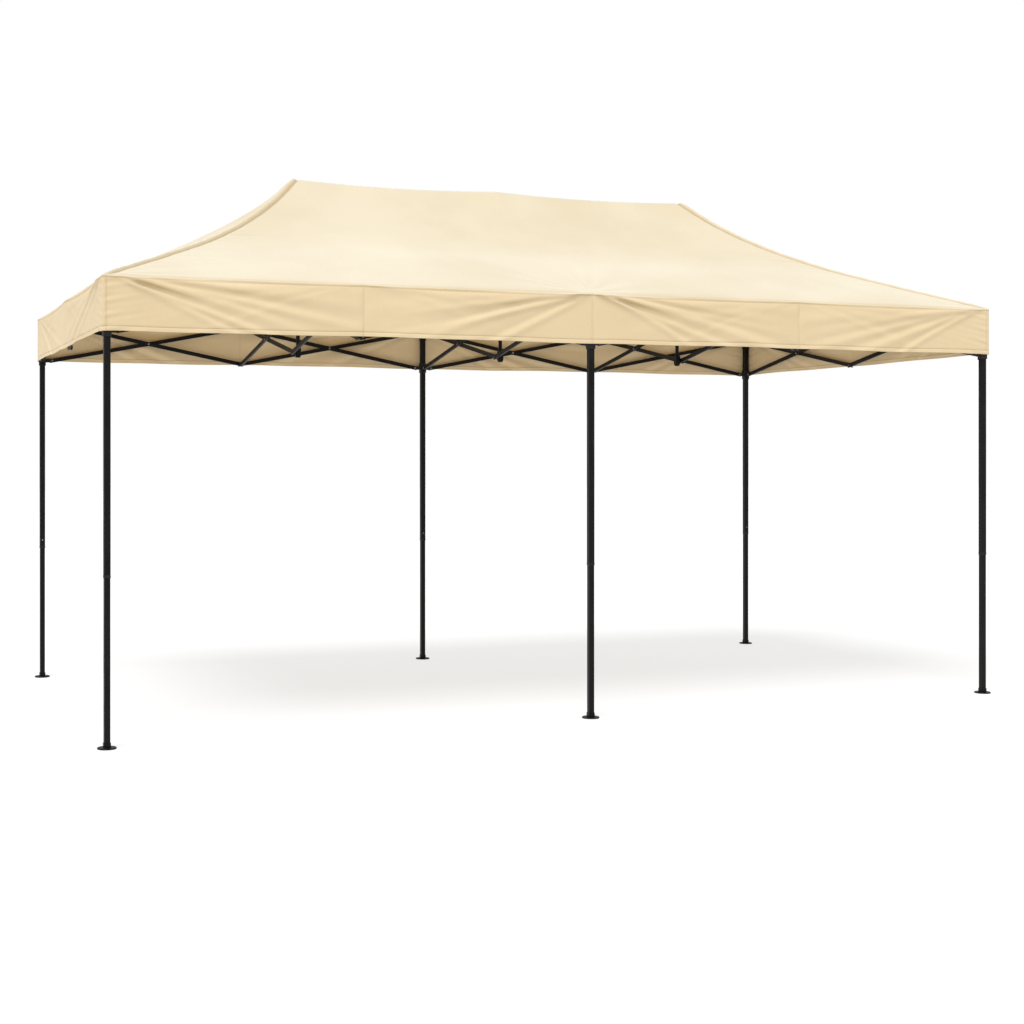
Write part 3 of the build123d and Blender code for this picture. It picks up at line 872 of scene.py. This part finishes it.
def rounded_rectangle(half_u, half_v, corner, steps):
    """A rectangle's outline with each corner rounded in so many steps."""
    outline = []
    for su, sv, first in ((1, 1, 0), (-1, 1, 90), (-1, -1, 180), (1, -1, 270)):
        cu, cv = su * (half_u - corner), sv * (half_v - corner)
        for k in range(steps + 1):
            a = math.radians(first + 90 * k / steps)
            outline.append((cu + corner * math.cos(a), cv + corner * math.sin(a)))
    return outline


def plug_shape(at, run, up, side, outward):
    """A moulded plug in a bar's end: a lip as large as the bar, a chamfer and a rounded nose."""
    outline = rounded_rectangle(BAR_HEIGHT / 2, BAR_HALF, PLUG_CORNER, 3)
    points = []
    for depth, grow in PLUG_STEPS:
        for u, v in outline:
            u2 = u + grow * math.copysign(1, u)
            v2 = v + grow * math.copysign(1, v)
            points.append(at + run * outward * depth + up * u2 + side * v2)
    return points, capped_faces(len(PLUG_STEPS), len(outline))


def add_end_plugs():
    """A plug in each bar's end, except where a cross bar ends in the fork of its hub joint."""
    for along, fixed, start, pairs, name, forked in truss_lines():
        flat = Vector((1, 0, 0)) if along == "x" else Vector((0, 1, 0))
        side = Vector((0, 1, 0)) if along == "x" else Vector((1, 0, 0))
        for pair in range(pairs):
            first, last = pair_ends(start, pair)
            for number, rise in ((2 * pair + 1, -1), (2 * pair + 2, 1)):
                node = f"{name}_{number}"
                run = flat * math.cos(SLOPE) + Vector((0, 0, rise * math.sin(SLOPE)))
                up = Vector((0, 0, math.cos(SLOPE))) - flat * rise * math.sin(SLOPE)
                shift = side * BAR_PLANE * rise
                batch = Batch()
                ends = ((first, -rise, -1, pair % 2 == 0), (last, rise, 1, pair % 2 == 1))
                for place, level, outward, at_row in ends:
                    if forked and at_row:
                        continue
                    z = PIN_TOP_Z if level > 0 else PIN_LOW_Z
                    at = place_on(along, fixed, place, z) + shift + run * outward * BAR_END
                    batch.take(plug_shape(at, run, up, side, outward))
                if batch.points:
                    batch.place(f"{node}_end_plugs", PLASTIC, NODE_BODY[node], smooth=False)


add_rivets()
add_end_plugs()


# ---- leg and slider fittings ---------------------------------------------------------------------
INNER_HALF = 0.0166  # half the width of each square section
TUBE_HALF = 0.018
SLIDER_HALF = 0.023
TUBE_FOOT_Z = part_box("front_middle_upper_leg")[0][2]
SLEEVE_CORNER_STEPS = 4


def sleeve(at, height, outer, inner, corner, lip):
    """A square moulded sleeve with rounded corners and a chamfered lip, open down its middle."""
    rows = [(inner, 0.0), (outer - lip, 0.0), (outer, lip)]
    rows += [(outer, height - lip), (outer - lip, height), (inner, height)]
    points = []
    for half, z in rows:
        radius = max(corner - (outer - half), 0.0012)
        outline = rounded_rectangle(half, half, radius, SLEEVE_CORNER_STEPS)
        points += [at + Vector((u, v, z)) for u, v in outline]
    return points, ring_faces(len(rows), len(outline), closed=True)


# the lever's side outline as (out, up) pairs, its half widths, and how far its edges are rounded
LEVER_OUTLINE = [(0.0, 0.010), (0.004, 0.010), (0.009, 0.006), (0.0125, -0.002)]
LEVER_OUTLINE += [(0.0140, -0.014), (0.0105, -0.0145), (0.0085, -0.004), (0.0050, 0.001)]
LEVER_OUTLINE += [(0.0, 0.002)]
LEVER_EDGE, LEVER_FACE = 0.0095, 0.008
LEVER_ROUND = 0.0010
LEVER_ROOT = -0.0004  # it runs this far into the collar


def lever(at, out, across):
    """A slider's release lever: a curved plate that leans out from the collar."""
    points = []
    widths = (-LEVER_EDGE, -LEVER_FACE, LEVER_FACE, LEVER_EDGE)
    for w in widths:
        pull = LEVER_ROUND if abs(w) > LEVER_FACE else 0.0
        for u, v in LEVER_OUTLINE:
            points.append(at + out * max(u - pull, LEVER_ROOT) + across * w + Vector((0, 0, v)))
    return points, capped_faces(len(widths), len(LEVER_OUTLINE))


BUTTON = [(0.0052, 0.0), (0.0052, 0.0022), (0.0045, 0.0034), (0.0026, 0.0041), (0.0006, 0.0043)]
BUSHING_HEIGHT = 0.016
BUSHING_BELOW = 0.003  # how far the bushing shows below the upper leg
BUTTON_ABOVE = 0.055  # the snap button's height above the upper leg's foot
LEVER_BELOW = 0.026  # the lever's height below the slider's pins


def add_leg_fittings():
    """A bushing and a snap button at each upper leg's foot, and a release lever on each slider."""
    for (row, column), (x, y) in LEG_XY.items():
        inward = Vector((0, -1 if y > 0 else 1, 0))
        leg = f"{row}_{column}_upper_leg"
        slider = f"{row}_{column}_slider"
        foot = Vector((x, y, TUBE_FOOT_Z - BUSHING_BELOW))
        outer, inner = TUBE_HALF + 0.0009, INNER_HALF + 0.0002
        bushing = sleeve(foot, BUSHING_HEIGHT, outer, inner, 0.0035, 0.0008)
        face = Vector((x, y, TUBE_FOOT_Z + BUTTON_ABOVE)) + inward * TUBE_HALF
        button = turned(BUTTON, face, inward)
        face = Vector((x, y, PIN_LOW_Z - LEVER_BELOW)) + inward * (SLIDER_HALF - 0.0002)
        release = lever(face, inward, Vector((1, 0, 0)))
        for shape, name, material, body, smooth in (
            (bushing, f"{row}_{column}_leg_bushing", PLASTIC, leg, False),
            (button, f"{row}_{column}_snap_button", RIVET, leg, True),
            (release, f"{slider}_lever", PLASTIC, slider, False),
        ):
            batch = Batch()
            batch.take(shape)
            batch.place(name, material, body, smooth)


add_leg_fittings()


# ---- stage ---------------------------------------------------------------------------------------
WHITE = (1.0, 1.0, 1.0, 1.0)
FLOOR_HALF = 60.0
FLOOR_GLOW = 0.67  # with the lamps, it brings the floor just to white, and a soft shadow shows
SKY_LIGHT, SKY_SEEN = 0.62, 1.0  # the sky's strength on the object, and as the camera sees it


def make_floor():
    """A plain white studio floor."""
    m = Nodes("studio_floor")
    tone = m.mix(m.noise(0.6, 2.0), (0.29, 0.29, 0.29), (0.30, 0.30, 0.30))
    material = m.finish(Base_Color=tone, Roughness=0.9, Specular_IOR_Level=0.1)
    m.shader.inputs["Emission Color"].default_value = WHITE
    m.shader.inputs["Emission Strength"].default_value = FLOOR_GLOW
    mesh = bpy.data.meshes.new("floor")
    signs = ((-1, -1), (1, -1), (1, 1), (-1, 1))
    corners = [(sx * FLOOR_HALF, sy * FLOOR_HALF, 0) for sx, sy in signs]
    mesh.from_pydata(corners, [], [(0, 1, 2, 3)])
    floor = add_object("floor", mesh, material)


def make_sun(name, direction, strength, angle):
    """A sun lamp that shines along direction."""
    light = bpy.data.lights.new(name, "SUN")
    light.energy = strength
    light.angle = angle
    lamp = bpy.data.objects.new(name, light)
    lamp.rotation_euler = Vector(direction).to_track_quat("-Z", "Y").to_euler()
    bpy.context.scene.collection.objects.link(lamp)


def make_light():
    """A white sky, brighter to the camera than on the object, and one broad key lamp."""
    world = bpy.data.worlds.new("studio")
    world.use_nodes = True
    tree = world.node_tree
    background = tree.nodes["Background"]
    background.inputs["Color"].default_value = WHITE
    seen = tree.nodes.new("ShaderNodeMapRange")
    seen.inputs["To Min"].default_value = SKY_LIGHT
    seen.inputs["To Max"].default_value = SKY_SEEN
    by_camera = tree.nodes.new("ShaderNodeLightPath").outputs["Is Camera Ray"]
    tree.links.new(by_camera, seen.inputs["Value"])
    tree.links.new(seen.outputs[0], background.inputs["Strength"])
    bpy.context.scene.world = world
    make_sun("key", (0.36, 0.37, -0.86), 2.9, math.radians(30))
    bpy.context.scene.view_settings.view_transform = "Standard"


def make_camera():
    """The photo's level camera, fitted to its six feet and four eave corners."""
    data = bpy.data.cameras.new("camera")
    data.sensor_width = 36.0
    data.lens = 54.8
    data.shift_x, data.shift_y = 0.1012, -0.0557
    data.clip_end = 200.0
    camera = bpy.data.objects.new("camera", data)
    camera.location = (-4.267, -9.981, 1.596)
    camera.rotation_euler = (math.radians(90), 0.0, math.radians(-19.93))
    bpy.context.scene.collection.objects.link(camera)
    bpy.context.scene.camera = camera


make_floor()
make_light()
make_camera()
